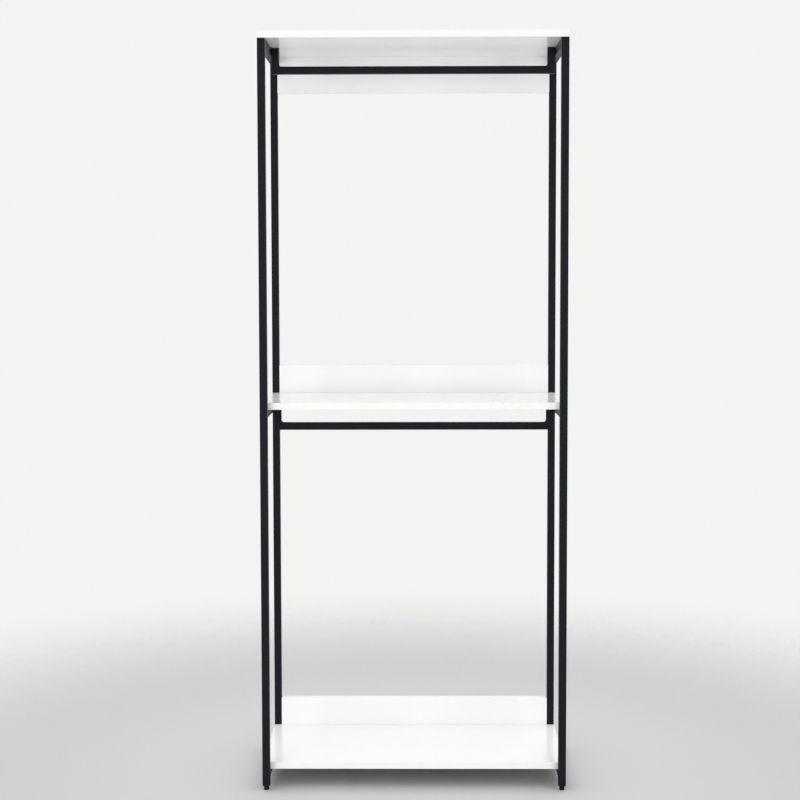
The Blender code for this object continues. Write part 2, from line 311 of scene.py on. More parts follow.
print("tube: wall", in_mm(TUBE_WALL), "mm, corner radius", in_mm(TUBE_CORNER), "mm")

# %% All tubes
WELD_RUN_ON = 0.0020
SIDES = ("left", "right")
ENDS = ("front", "rear")
LEVELS = ("upper", "middle", "lower")
HANGING_LEVELS = ("upper", "lower")

post_nodes = [f"post_{end}_{side}" for end in ENDS for side in SIDES]
rail_nodes = [f"side_rail_{level}_{side}" for level in LEVELS for side in SIDES]
hanging_nodes = [f"hanging_rail_{level}" for level in HANGING_LEVELS]
posts = {node: tube(node) for node in post_nodes}
rails = {node: tube(node, WELD_RUN_ON) for node in rail_nodes}
hanging = {node: tube(node, WELD_RUN_ON) for node in hanging_nodes}
print("tubes:", len(posts), "posts,", len(rails), "side rails,", len(hanging), "hanging rails")

# %% [markdown]
# ## The drops
#
# Each hanging rail ends in two short upright tubes, bolted to the side rails. Their lower ends are capped
# and ground flush. A cap could be a piece of its own, but a flush one shows no seam. So the profile goes
# up the outside, over the upper rim, down the bore and stops on the inner face of the cap.

# %% Drops


def underside(node):
    """The middle of a CAD node's underside."""
    lowest, highest, _ = extent(node)
    return np.array([*(lowest + highest)[:2] / 2, lowest[2]])


def capped_tube(node):
    """Upright tube on a node's box, closed at its foot."""
    size = extent(node)[2]
    profile = over_the_rim(size[2]) + [(TUBE_WALL, TUBE_WALL)]
    points = carried(size[:2], TUBE_CORNER, profile)
    surface = add_surface(f"tube_{node}", points + underside(node))
    store_corner(surface, len(profile))
    return surface


drop_nodes = [f"rail_drop_{level}_{side}" for level in HANGING_LEVELS for side in SIDES]
drops = {node: capped_tube(node) for node in drop_nodes}
print("drops:", len(drops), "of", in_mm(extent(drop_nodes[0])[2][2]), "mm")

# %% [markdown]
# ## Weld fillets
#
# The picture shows a small round in the inner corner between a drop and its hanging rail: the fillet of the
# weld under the paint. The side rails have one under each end. A bevel on joined tubes could make such a
# round, but these tubes stay apart, so each fillet is a piece of its own: a corner filled up to a hollow
# quarter circle, carried along the joint. Its radius swells and shrinks a little every two millimetres,
# the ripple that a welding torch leaves, and it tapers towards the rounded edges of the tube.

# %% Fillet shape
FILLET_REACH = 0.0088
FILLET_ROOT = 0.0004
FILLET_ROWS, FILLET_ARC_STEPS = 33, 9
FILLET_TAPER, TAPER_POWER = 0.20, 4
RIPPLE_SPACING, RIPPLE_DEPTH = 0.0022, 0.05


def fillet(name, corner, first, second, radius):
    """A hollow quarter circle carried along a corner line. A point is the corner, plus its way along the
    line, plus the local radius times its share of the two directions that lead away from the corner along
    the tubes. The local radius is the fillet's own, times a cosine ripple, times a taper that grows with
    the fourth power of the way."""
    first, second = np.array(first, float), np.array(second, float)
    along = np.cross(first, second)
    way = np.linspace(-FILLET_REACH, FILLET_REACH, FILLET_ROWS)[:, None, None]
    ripple = 1 + RIPPLE_DEPTH * np.cos(2 * np.pi * way / RIPPLE_SPACING)
    local = radius * ripple * (1 - FILLET_TAPER * (way / FILLET_REACH) ** TAPER_POWER)
    turn = np.linspace(0, np.pi / 2, FILLET_ARC_STEPS)[1:-1]
    root = FILLET_ROOT / radius
    share_first = np.concatenate([[-root, 1, 1], 1 - np.sin(turn), [0, -root]])[:, None]
    share_second = np.concatenate([[-root, -root, 0], 1 - np.cos(turn), [1, 1]])[:, None]
    points = np.array(corner) + along * way + local * (share_first * first + share_second * second)
    surface = add_surface(name, points)
    flat_shading(surface)
    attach(surface, "frame")
    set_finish(surface, "powder_coat")
    return surface


print("a fillet has", round(2 * FILLET_REACH / RIPPLE_SPACING), "ripples")

# %% All fillets
DROP_FILLET, RAIL_FILLET = 0.0075, 0.0040
INWARD = {"left": 1, "right": -1, "front": 1, "rear": -1}

fillets = []
for level in HANGING_LEVELS:
    rail_top = extent(f"hanging_rail_{level}")[1][2]
    for side in SIDES:
        lowest, highest, _ = extent(f"rail_drop_{level}_{side}")
        face = highest[0] if INWARD[side] > 0 else lowest[0]
        joint = (face, 0, rail_top)
        name = f"weld_drop_{level}_{side}"
        fillets.append(fillet(name, joint, (INWARD[side], 0, 0), (0, 0, 1), DROP_FILLET))
for level in LEVELS:
    for side in SIDES:
        rail_low, rail_high, _ = extent(f"side_rail_{level}_{side}")
        for end in ENDS:
            lowest, highest, _ = extent(f"post_{end}_{side}")
            face = highest[1] if INWARD[end] > 0 else lowest[1]
            joint = ((rail_low[0] + rail_high[0]) / 2, face, rail_low[2])
            name = f"weld_rail_{level}_{side}_{end}"
            fillets.append(fillet(name, joint, (0, INWARD[end], 0), (0, 0, -1), RAIL_FILLET))
print("weld fillets:", len(fillets))

# %% [markdown]
# ## Boards
#
# The shelves and back boards are 18 mm particle board, faced with white melamine and closed all round with
# a thin plastic edge band. The band is glued on and trimmed, which leaves a softly rounded arris and a
# hairline next to it. The hairline could be a dark line in the finish, but a groove catches light and
# shade from any side, so both are part of the profile. The faces keep the first material and the band gets
# the second.
#
# The upper back board is screwed up tight under its shelf. The frame model leaves a hair's gap there, so
# that board runs on into the shelf, and the seam closes.

# %% Board shape
BAND_THICKNESS = 0.0010
HAIRLINE_WIDTH = 0.0003
HAIRLINE_DEPTH = 0.00015
ARRIS_RADIUS, ARRIS_STEPS = 0.0005, 5
BOARD_CORNER = 0.0015
FACING_INDEX, BAND_INDEX = 0, 1
FACES_OF_BOARD = 2


def board(node, run_on=0.0):
    """A board on a node's box: from one face over the hairline, the arris, which is a quarter circle, the
    edge and the other arris to the other face. A run-on makes it that much taller."""
    lowest, highest, _ = extent(node)
    highest[2] += run_on
    size = highest - lowest
    axis = int(np.argmin(size))
    turn = np.linspace(0, np.pi / 2, ARRIS_STEPS)
    face_side = [
        (BAND_THICKNESS + HAIRLINE_WIDTH, 0),
        (BAND_THICKNESS + HAIRLINE_WIDTH / 2, HAIRLINE_DEPTH),
        (BAND_THICKNESS, 0),
        *zip(ARRIS_RADIUS * (1 - np.sin(turn)), ARRIS_RADIUS * (1 - np.cos(turn))),
    ]
    other_side = [(inset, size[axis] - height) for inset, height in reversed(face_side)]
    points = carried(np.roll(size, -axis - 1)[:2], BOARD_CORNER, face_side + other_side)
    start = (lowest + highest) / 2
    start[axis] = lowest[axis]
    surface = add_surface(f"board_{node}", laid(points, axis, start))
    indices = np.full(len(surface.data.polygons), BAND_INDEX)
    indices[-FACES_OF_BOARD:] = FACING_INDEX
    surface.data.polygons.foreach_set("material_index", indices)
    return surface


print("boards of", in_mm(extent("shelf_upper")[2][2]), "mm with a band of", in_mm(BAND_THICKNESS), "mm")

# %% All boards
SEAM_RUN_ON = {"upper": 0.0010, "middle": 0.0, "lower": 0.0}

shelves = {f"shelf_{level}": board(f"shelf_{level}") for level in LEVELS}
backs = {f"back_board_{level}": board(f"back_board_{level}", SEAM_RUN_ON[level]) for level in LEVELS}
print("boards:", len(shelves), "shelves and", len(backs), "back boards")

# %% [markdown]
# ## Turned surfaces and threads
#
# Screws, bolts, nuts and feet are turned: every row is an outline about one axis. The outline need not be
# a circle. If the radius depends on the angle, it can be a hexagon or the cross of a driver recess, and if
# it also depends on the height it becomes a thread: the tooth climbs by one pitch in one turn.
#
# Modelling a tooth and winding it up with a screw modifier would work too, but it leaves open ends to
# close by hand.

# %% Turned outlines
AROUND = 24
ANGLE = np.arange(AROUND) * 2 * np.pi / AROUND


def spun(rows, angle=ANGLE):
    """A turned surface from (radius, height) rows: a point is (radius cos angle, radius sin angle, height).
    A radius is one number, or one for each angle."""
    radius = np.stack([np.broadcast_to(row[0], angle.shape) for row in rows])
    height = np.broadcast_to(np.array([row[1] for row in rows])[:, None], radius.shape)
    return np.stack([radius * np.cos(angle), radius * np.sin(angle), height], axis=-1)


def hexagon(across):
    """Radius of a hexagon at each angle: half its width across flats, over the cosine of the turn from the
    nearest flat."""
    from_flat = (ANGLE + np.pi / 6) % (np.pi / 3) - np.pi / 6
    return across / 2 / np.cos(from_flat)


def cross(length, width):
    """Radius of a plus sign at each angle: out to the arm's end near its middle, and out to the arm's flank
    elsewhere."""
    from_arm = np.abs((ANGLE + np.pi / 4) % (np.pi / 2) - np.pi / 4)
    arm_end = length / 2 / np.cos(from_arm)
    flank = width / 2 / np.maximum(np.sin(from_arm), TINY)
    return np.minimum(arm_end, flank)


print("points round a screw:", AROUND)

# %% Threads
ROWS_PER_PITCH = 6
POINT_TIP_SHARE = 0.1


def thread(radius, depth, pitch, start, stop, point=0.0):
    """Rows of a right-hand thread. The radius drops by the depth times a triangle wave of height / pitch -
    angle / turn. The tooth fades in over one pitch at both ends. Where there is a point, the radius shrinks
    over its length towards the start."""
    count = int((stop - start) / pitch * ROWS_PER_PITCH)
    height = np.linspace(start, stop, count)[:, None]
    wave = np.abs(2 * ((height / pitch - ANGLE / (2 * np.pi)) % 1) - 1)
    fade = np.clip(np.minimum(height - start, stop - height) / pitch, 0, 1)
    taper = np.clip((height - start) / point, POINT_TIP_SHARE, 1) if point else 1.0
    return list(zip((radius - depth * wave * fade) * taper, height.ravel()))


def aimed(points, outward, place):
    """Turns upright points so that their top looks along a direction, and moves them to a place."""
    turn = np.array(Vector(outward).to_track_quat("Z", "Y").to_matrix())
    return points @ turn.T + np.array(place)


print("one turn of thread:", ROWS_PER_PITCH, "rows of", AROUND, "points")

# %% [markdown]
# ## Screws and bolts
#
# Pan head screws come up through the side rails into the shelves, countersunk screws hold the back boards,
# and short bolts with a round head and a hexagon socket hold the drops. Only the heads show. The threads
# could be left out, but the meshes are used on their own as well, so they are made. Each head sits where
# the node has it, so its seat is found from the end of the node's box.

# %% Heads and recesses
HEAD_FLAT_SHARE = 0.5
DOME_STEPS = 7
CROSS_LENGTH, CROSS_WIDTH, CROSS_DEPTH = 0.0036, 0.00096, 0.0013
CROSS_FLOOR_SHARE = 0.5


def dome(head, height):
    """Rows of a round head from its seat to its flat top: a quarter ellipse."""
    turn = np.linspace(0, np.pi / 2, DOME_STEPS)
    flat = head * HEAD_FLAT_SHARE
    return list(zip(flat + (head - flat) * np.cos(turn), height * np.sin(turn)))


def recess(outline, top, depth, share):
    """Rows of a driver recess: its outline at the top, and the outline times a share on the floor."""
    return [(outline, top), (outline * share, top - depth)]


driver_cross = cross(CROSS_LENGTH, CROSS_WIDTH)
print("driver cross:", in_mm(CROSS_LENGTH), "mm long,", in_mm(CROSS_DEPTH), "mm deep")

# %% Wood screws
WOOD_PITCH, WOOD_DEPTH = 0.0018, 0.0007
WOOD_SCREW = {"shank": 0.0020, "head": 0.0040, "pan_height": 0.0024}
NECK = 0.0020


def shelf_screw(length):
    """Pan head wood screw with its seat at height 0. Its point is as long as its shank is wide."""
    shank, top = WOOD_SCREW["shank"], WOOD_SCREW["pan_height"]
    rows = thread(shank, WOOD_DEPTH, WOOD_PITCH, -length, -NECK, point=2 * shank)
    rows += [(shank, 0)] + dome(WOOD_SCREW["head"], top)
    return spun(rows + recess(driver_cross, top, CROSS_DEPTH, CROSS_FLOOR_SHARE))


def back_screw(length):
    """Countersunk wood screw with the flat of its head at height 0. Its cone slopes at 45 degrees."""
    shank, head = WOOD_SCREW["shank"], WOOD_SCREW["head"]
    cone = head - shank
    rows = thread(shank, WOOD_DEPTH, WOOD_PITCH, -length, -cone - NECK, point=2 * shank)
    rows += [(shank, -cone), (head, 0)]
    return spun(rows + recess(driver_cross, 0, CROSS_DEPTH, CROSS_FLOOR_SHARE))


print("wood screws:", in_mm(2 * WOOD_SCREW["shank"]), "mm thick, pitch", in_mm(WOOD_PITCH), "mm")

# %% Bolts
BOLT_PITCH, BOLT_DEPTH = 0.0010, 0.0006
BOLT = {"shank": 0.0030, "head": 0.00525, "head_height": 0.0033}
SOCKET_ACROSS, SOCKET_DEPTH, SOCKET_FLOOR_SHARE = 0.0040, 0.0020, 1.0
DRILL_RADIUS, DRILL_DEPTH = 0.0012, 0.0003


def rail_bolt(length):
    """Round head machine bolt with its seat at height 0. A drill has left a shallow point in the socket."""
    shank, top = BOLT["shank"], BOLT["head_height"]
    rows = [(shank - BOLT_DEPTH, -length)]
    rows += thread(shank, BOLT_DEPTH, BOLT_PITCH, BOLT_DEPTH - length, -NECK)
    rows += [(shank, 0)] + dome(BOLT["head"], top)
    rows += recess(hexagon(SOCKET_ACROSS), top, SOCKET_DEPTH, SOCKET_FLOOR_SHARE)
    return spun(rows + [(DRILL_RADIUS, top - SOCKET_DEPTH - DRILL_DEPTH)])


print("bolts:", in_mm(2 * BOLT["shank"]), "mm thick, pitch", in_mm(BOLT_PITCH), "mm")

# %% All screws and bolts
fasteners = {}


def add_fastener(node, shape, outward, head_height):
    """Makes a fastener whose head looks outward, and notes its seat, direction and length for its hole.
    The seat lies one head height inside the outer end of the node's box, and the shank takes the rest."""
    lowest, highest, size = extent(node)
    outward = np.array(outward, float)
    length = abs(size @ outward) - head_height
    seat = (lowest + highest) / 2 + outward * (abs(size @ outward) / 2 - head_height)
    fasteners[node] = (seat, outward, length)
    stand_for(add_surface(f"turned_{node}", aimed(shape(length), outward, seat)), node)


for level in LEVELS:
    back_way = (0, 0, 1) if level == "upper" else (0, 1, 0)
    for side in SIDES:
        for end in ENDS:
            node = f"shelf_screw_{level}_{side}_{end}"
            add_fastener(node, shelf_screw, (0, 0, -1), WOOD_SCREW["pan_height"])
        add_fastener(f"back_screw_{level}_{side}", back_screw, back_way, 0)
        if level in HANGING_LEVELS:
            bolt_way = (-INWARD[side], 0, 0)
            add_fastener(f"rail_bolt_{level}_{side}", rail_bolt, bolt_way, BOLT["head_height"])
print("fasteners:", len(fasteners))

# %% [markdown]
# ## Nuts
#
# Inside each drop a hexagon nut holds the bolt. A nut is a pipe with an odd outside: a hexagon cut by a
# cone at both ends, and a bore with the bolt's own thread. The bore could be cut with a copy of the bolt,
# but the same rows give it at once. They are worked out in the bolt's place, so that the two threads match.

# %% Nuts
NUT_ACROSS = 0.010
NUT_CHAMFER = 0.0006
CHAMFER_STEPS, CHAMFER_SLOPE = 4, 1.6
THREAD_PLAY = 0.0001


def chamfered_hexagon(across, low, high, chamfer):
    """Rows of a hexagon whose corners are turned down at both ends: the smaller of hexagon and cone at each
    angle."""
    full = hexagon(across)
    steps = np.linspace(0, chamfer, CHAMFER_STEPS)
    cones = [np.minimum(full, across / 2 + CHAMFER_SLOPE * step) for step in steps]
    rise = list(zip(cones, low + steps))
    fall = list(zip(cones, high - steps))
    return rise + fall[::-1]


for level in HANGING_LEVELS:
    for side in SIDES:
        node = f"rail_nut_{level}_{side}"
        seat, outward, _ = fasteners[f"rail_bolt_{level}_{side}"]
        lowest, highest, size = extent(node)
        middle = ((lowest + highest) / 2 - seat) @ outward
        low_end, high_end = middle - size[0] / 2, middle + size[0] / 2
        bore = thread(BOLT["shank"] + THREAD_PLAY, BOLT_DEPTH, BOLT_PITCH, low_end, high_end)
        rows = chamfered_hexagon(NUT_ACROSS, low_end, high_end, NUT_CHAMFER) + bore[::-1]
        stand_for(add_surface(f"turned_{node}", aimed(spun(rows), outward, seat), ring=True), node)
print("nuts:", len(HANGING_LEVELS) * len(SIDES))

# %% [markdown]
# ## Holes
#
# The screws and bolts pass through real holes. A hole's rim could be woven into the grid of its board or
# tube, but it is simpler to cut it. A plain turned tool, slightly wider than the fastener, cuts each hole,
# and all the cuts of a piece are applied at once. The countersunk heads lie a hair under the surface, and
# the tool's wide mouth leaves the shadow ring that one sees round such a screw.

# %% Hole tools
HOLE_PLAY = 0.0003
MOUTH_HEIGHT = 0.0020


def hole_tool(node):
    """A cutter for one fastener: its shank, and for a countersunk one its cone and a mouth above, all a
    little wider."""
    seat, outward, length = fasteners[node]
    shank = (BOLT if "bolt" in node else WOOD_SCREW)["shank"] + HOLE_PLAY
    rows = [(shank, -length - HOLE_PLAY), (shank, HOLE_PLAY)]
    if "back_screw" in node:
        head = WOOD_SCREW["head"] + HOLE_PLAY
        rows = [rows[0], (shank, shank - head), (head, 0), (head, MOUTH_HEIGHT)]
    return add_surface(f"tool_{node}", aimed(spun(rows), outward, seat))


def cut(piece, tools):
    """Cuts the tools out of a piece, applies the result and removes the tools."""
    for tool in tools:
        modifier = piece.modifiers.new(tool.name, "BOOLEAN")
        modifier.operation = "DIFFERENCE"
        modifier.solver = "EXACT"
        modifier.object = tool
    cut_piece = piece.evaluated_get(bpy.context.evaluated_depsgraph_get())
    result = bpy.data.meshes.new_from_object(cut_piece)
    piece.modifiers.clear()
    piece.data = result
    result.shade_smooth()
    result.set_sharp_from_angle(angle=SHARP_ANGLE)
    for tool in tools:
        bpy.data.objects.remove(tool)


print("holes are", in_mm(2 * HOLE_PLAY), "mm wider than their fasteners")

# %% All holes
BOLTS_UNDER = {"upper": "upper", "middle": "lower"}

for level in LEVELS:
    back_holes = [f"back_screw_{level}_{side}" for side in SIDES]
    shelf_holes = [f"shelf_screw_{level}_{side}_{end}" for side in SIDES for end in ENDS]
    cut(shelves[f"shelf_{level}"], [hole_tool(node) for node in shelf_holes + back_holes])
    cut(backs[f"back_board_{level}"], [hole_tool(node) for node in back_holes])
    for side in SIDES:
        rail_holes = [f"shelf_screw_{level}_{side}_{end}" for end in ENDS]
        if level in BOLTS_UNDER:
            rail_holes.append(f"rail_bolt_{BOLTS_UNDER[level]}_{side}")
        cut(rails[f"side_rail_{level}_{side}"], [hole_tool(node) for node in rail_holes])
for level in HANGING_LEVELS:
    for side in SIDES:
        cut(drops[f"rail_drop_{level}_{side}"], [hole_tool(f"rail_bolt_{level}_{side}")])
for node, piece in {**posts, **rails, **hanging, **drops, **shelves, **backs}.items():
    stand_for(piece, node)
print("the upper shelf has", len(shelves["shelf_upper"].data.polygons), "faces after cutting")

# %% [markdown]
# ## Levelling feet: the plug
#
# A plastic plug closes the lower end of each post. It has a flange as wide as the tube, and lamellae on its
# stem that grip the bore. A box could be shaped by hand for it, but the rounded outline already fits the
# tube, so the profile only has to step in and out. A round bore for the stud is then cut through it.

# %% Plug
PLUG_FLANGE = 0.0020
PLUG_EDGE = 0.0004
PLUG_STEM_INSET = 0.0015
PLUG_RIB_INSET, PLUG_RIB_HEIGHT, PLUG_RIB_SPACING = 0.0013, 0.0012, 0.0050
PLUG_LEAD_IN = 0.0010
STUD_RADIUS = 0.0040
SOCKET_PLAY = 0.0003


def foot_plug(node):
    """Flange and ribbed stem as a rounded square carried upwards, with a round bore for the stud."""
    size = extent(node)[2]
    first_rib = PLUG_FLANGE + PLUG_RIB_SPACING / 2
    one_rib = ((PLUG_STEM_INSET, 0), (PLUG_RIB_INSET, PLUG_EDGE), (PLUG_STEM_INSET, PLUG_RIB_HEIGHT))
    ribs = [
        (inset, start + rise)
        for start in np.arange(first_rib, size[2] - PLUG_RIB_SPACING, PLUG_RIB_SPACING)
        for inset, rise in one_rib
    ]
    profile = [
        (PLUG_EDGE, 0),
        (0, PLUG_EDGE),
        (0, PLUG_FLANGE - PLUG_EDGE / 2),
        (PLUG_EDGE / 2, PLUG_FLANGE),
        (PLUG_STEM_INSET, PLUG_FLANGE),
        *ribs,
        (PLUG_STEM_INSET, size[2] - PLUG_LEAD_IN),
        (PLUG_STEM_INSET + PLUG_LEAD_IN, size[2]),
    ]
    points = carried(size[:2], TUBE_CORNER, profile)
    surface = add_surface(f"moulded_{node}", points + underside(node))
    bore = STUD_RADIUS + SOCKET_PLAY
    tool = spun([(bore, -PLUG_FLANGE), (bore, size[2] + PLUG_FLANGE)])
    cut(surface, [add_surface(f"tool_{node}", tool + underside(node))])
    return surface


print("plug bore:", in_mm(2 * (STUD_RADIUS + SOCKET_PLAY)), "mm")

# %% [markdown]
# ## Levelling feet: the stud
#
# A threaded stud screws into the plug. A spanner turns it by its hexagon, and a pin under the hexagon
# carries the pad. The three could be separate shapes joined later, but all are turned about one axis, so
# one list of rows makes the stud from the pin's end up.

# %% Stud
STUD_PITCH, STUD_DEPTH = 0.00125, 0.0007
HEX_ACROSS, HEX_HEIGHT, HEX_CHAMFER = 0.0130, 0.0050, 0.0006
PIN_RADIUS, PIN_LENGTH, PIN_EDGE = 0.0025, 0.0030, 0.0004


def foot_stud(node):
    """Pin, chamfered hexagon and threaded stud, from the pin's end up."""
    top = extent(node)[2][2]
    shoulder = PIN_LENGTH + HEX_HEIGHT
    rows = [(PIN_RADIUS - PIN_EDGE, 0), (PIN_RADIUS, PIN_EDGE), (PIN_RADIUS, PIN_LENGTH)]
    rows += chamfered_hexagon(HEX_ACROSS, PIN_LENGTH, shoulder, HEX_CHAMFER)
    rows += [(STUD_RADIUS, shoulder)]
    rows += thread(STUD_RADIUS, STUD_DEPTH, STUD_PITCH, shoulder + STUD_DEPTH, top - STUD_DEPTH)
    rows += [(STUD_RADIUS - STUD_DEPTH, top)]
    return add_surface(f"turned_{node}", spun(rows) + underside(node))


print("stud:", in_mm(2 * STUD_RADIUS), "mm thick, pitch", MM_PER_METRE * STUD_PITCH, "mm")

# %% [markdown]
# ## Levelling feet: the pad
#
# A round pad stands on the floor under each stud. The pin turns in its socket, so the pad goes up and down
# without turning. Its side is fluted, as on many moulded pads. The flutes could be cut one by one, but
# a wave in the radius makes all of them at once. It needs more points round than a screw has.

# %% Pad
PAD_EDGE, PAD_RIM, PAD_TAPER = 0.0008, 0.0004, 0.0002
PAD_EDGE_STEPS = 5
PAD_FLUTES, PAD_FLUTE_DEPTH, POINTS_PER_FLUTE = 24, 0.00025, 4
SOCKET_EDGE = 0.0002
FINE_AROUND = POINTS_PER_FLUTE * PAD_FLUTES
FINE_ANGLE = np.arange(FINE_AROUND) * 2 * np.pi / FINE_AROUND


def foot_pad(node, stud):
    """A fluted button with a socket: out under the rounded lower edge, up the side, which leans out a
    little, over the top and into the socket. The flutes take a cosine of the angle off the radius."""
    size = extent(node)[2]
    upper, top = size[0] / 2, size[2]
    lower = upper - PAD_TAPER
    socket = PIN_RADIUS + SOCKET_PLAY
    socket_floor = underside(stud)[2] - underside(node)[2] - SOCKET_PLAY
    flute = PAD_FLUTE_DEPTH * (1 - np.cos(PAD_FLUTES * FINE_ANGLE)) / 2
    turn = np.linspace(0, np.pi / 2, PAD_EDGE_STEPS)
    rows = list(zip(lower - PAD_EDGE * (1 - np.sin(turn)), PAD_EDGE * (1 - np.cos(turn))))
    rows += [(lower - flute, 2 * PAD_EDGE), (upper - flute, top - 2 * PAD_EDGE)]
    rows += list(zip(upper - PAD_RIM * (1 - np.cos(turn)), top - PAD_RIM * (1 - np.sin(turn))))
    rows += [(socket + SOCKET_EDGE, top), (socket, top - SOCKET_EDGE), (socket, socket_floor)]
    return add_surface(f"moulded_{node}", spun(rows, FINE_ANGLE) + underside(node))


print("pad:", PAD_FLUTES, "flutes of", MM_PER_METRE * PAD_FLUTE_DEPTH, "mm")

# %% All feet
for end in ENDS:
    for side in SIDES:
        plug, stud, pad = (f"foot_{part}_{end}_{side}" for part in ("plug", "stud", "pad"))
        stand_for(foot_plug(plug), plug)
        stand_for(foot_stud(stud), stud)
        stand_for(foot_pad(pad, stud), pad)
print("feet:", len(ENDS) * len(SIDES), "each of a plug, a stud and a pad")

# %% [markdown]
# ## Tools for finishes
#
# A finish is a small network of nodes. It could be drawn in the shader editor, but written down it can be
# read and repeated. One function adds a node, sets its fields and fills its sockets, with a value or with
# another node's output. Colours are written as on a paint card, as hex values for the screen, and one
# function turns them into the linear values that light is computed with. Patterns are given by their real
# size in millimetres.

# %% Colour and scale
SCREEN_WHITE = 255
CURVE_KNEE, CURVE_SLOPE, CURVE_OFFSET, CURVE_POWER = 0.04045, 12.92, 0.055, 2.4


def linear(code):
    """The linear colour of an sRGB hex code: a straight line at the dark end and a power curve above."""
    screen = np.array(list(bytes.fromhex(code[1:]))) / SCREEN_WHITE
    curve = ((screen + CURVE_OFFSET) / (1 + CURVE_OFFSET)) ** CURVE_POWER
    value = np.where(screen <= CURVE_KNEE, screen / CURVE_SLOPE, curve)
    return (*value.tolist(), 1.0)


def per_metre(millimetres):
    """The scale of a pattern whose features are this far apart."""
    return MM_PER_METRE / millimetres


print("mid grey on the screen is", round(linear("#808080")[0], 3), "in linear light")

# %% Node tools
MIX_FIRST, MIX_SECOND, MIX_RESULT = 6, 7, 2
NOISE_SPAN = {"From Min": 0.3, "From Max": 0.7}


def add_node(tree, kind, inputs=None, **fields):
    """Adds a node. An input that is another node's output is linked, and any other value is set on the
    socket."""
    node = tree.nodes.new(kind)
    for field, value in fields.items():
        setattr(node, field, value)
    for socket, value in (inputs or {}).items():
        if isinstance(value, bpy.types.NodeSocket):
            tree.links.new(value, node.inputs[socket])
        else:
            node.inputs[socket].default_value = value
    return node


def new_material(name):
    """An empty material. Returns it with its node tree and the object coordinates of the surface."""
    material = bpy.data.materials.new(name)
    material.use_nodes = True
    material.node_tree.nodes.clear()
    place = add_node(material.node_tree, "ShaderNodeTexCoord").outputs["Object"]
    return material, material.node_tree, place


def dress(pieces, *finishes):
    """Gives pieces these materials, in place of any that they had."""
    for piece in pieces:
        piece.data.materials.clear()
        for finish in finishes:
            piece.data.materials.append(finish)
    print([finish.name for finish in finishes], "on", len(pieces), "pieces")


print("most of a noise lies from", NOISE_SPAN["From Min"], "to", NOISE_SPAN["From Max"])

# %% [markdown]
# ## Satin black powder coat
#
# Powder coat is a baked resin skin. It melts and flows out, so it has a fine orange peel, a soft sheen that
# varies a little from place to place, and a thinner film on sharp corners. The corners are painted paler:
# partly for that thinner film, and partly as a painted highlight that stands in for the lamps, which are
# hidden from reflections. One dark grey would look like plastic, so each of these has its part in the
# network. The coat is a dielectric with a roughness of about 0.45, and the fine matting agents in it keep
# the specular level low.
#
# The peel of the real skin is about 1.5 mm wide and shows only close up. The second pattern is drawn
# coarser than on a real skin, about 40 mm wide, so that the varying sheen shows at this distance.

# %% Powder coat
PEEL = {"Scale": per_metre(1.5), "Detail": 2}
PEEL_RELIEF = {"Strength": 0.5, "Distance": 0.0001}
DRIFT = {"Scale": per_metre(40), "Detail": 3}
# The second tone is the paler corner colour: partly the thinner film, partly a painted highlight.
COAT_TONES = {MIX_FIRST: linear("#121319"), MIX_SECOND: linear("#23242C")}
COAT_ROUGHNESS = {"To Min": 0.40, "To Max": 0.50}
COAT_SPECULAR = 0.18
RESIN_IOR = 1.5

coat, tree, place = new_material("satin_black_powder_coat")
peel = add_node(tree, "ShaderNodeTexNoise", {"Vector": place, **PEEL}).outputs["Fac"]
drift = add_node(tree, "ShaderNodeTexNoise", {"Vector": place, **DRIFT}).outputs["Fac"]
edge = add_node(tree, "ShaderNodeAttribute", attribute_name="corner").outputs["Fac"]
# Paler on the corners: partly the thinner film, partly a painted highlight along the rounded edges.
pale_corner_film_and_highlight = add_node(tree, "ShaderNodeMath", {0: edge, 1: drift}, operation="MULTIPLY").outputs[0]
skin = add_node(tree, "ShaderNodeMix", {0: pale_corner_film_and_highlight, **COAT_TONES}, data_type="RGBA").outputs[MIX_RESULT]
sheen = add_node(tree, "ShaderNodeMapRange", {"Value": drift, **NOISE_SPAN, **COAT_ROUGHNESS}).outputs[0]
relief = add_node(tree, "ShaderNodeBump", {"Height": peel, **PEEL_RELIEF}).outputs[0]
shader = add_node(
    tree,
    "ShaderNodeBsdfPrincipled",
    {
        "Base Color": skin,
        "Roughness": sheen,
        "Normal": relief,
        "IOR": RESIN_IOR,
        "Specular IOR Level": COAT_SPECULAR,
    },
)
add_node(tree, "ShaderNodeOutputMaterial", {"Surface": shader.outputs[0]})
dress([*posts.values(), *rails.values(), *hanging.values(), *drops.values(), *fillets], coat)

# %% [markdown]
# ## White melamine facing
#
# Melamine facing is paper soaked in resin and pressed onto the board under a steel plate. It takes over the
# plate's fine pearl grain, and its white is nearly even, with faint clouds from the paper. A plain white
# would look like plastic sheet, so both are drawn: the grain as a very shallow bump, and the clouds as a
# slight change of white and of gloss. The clouds are coarser than in real paper, so that they can show.

# %% Melamine facing
PEARL = {"Scale": per_metre(0.9), "Detail": 2}
PEARL_RELIEF = {"Strength": 0.15, "Distance": 0.00003}
CLOUD = {"Scale": per_metre(60), "Detail": 4}
FACING_TONES = {MIX_FIRST: linear("#F3F4F3"), MIX_SECOND: linear("#F6F7F6")}
FACING_ROUGHNESS = {"To Min": 0.19, "To Max": 0.215}

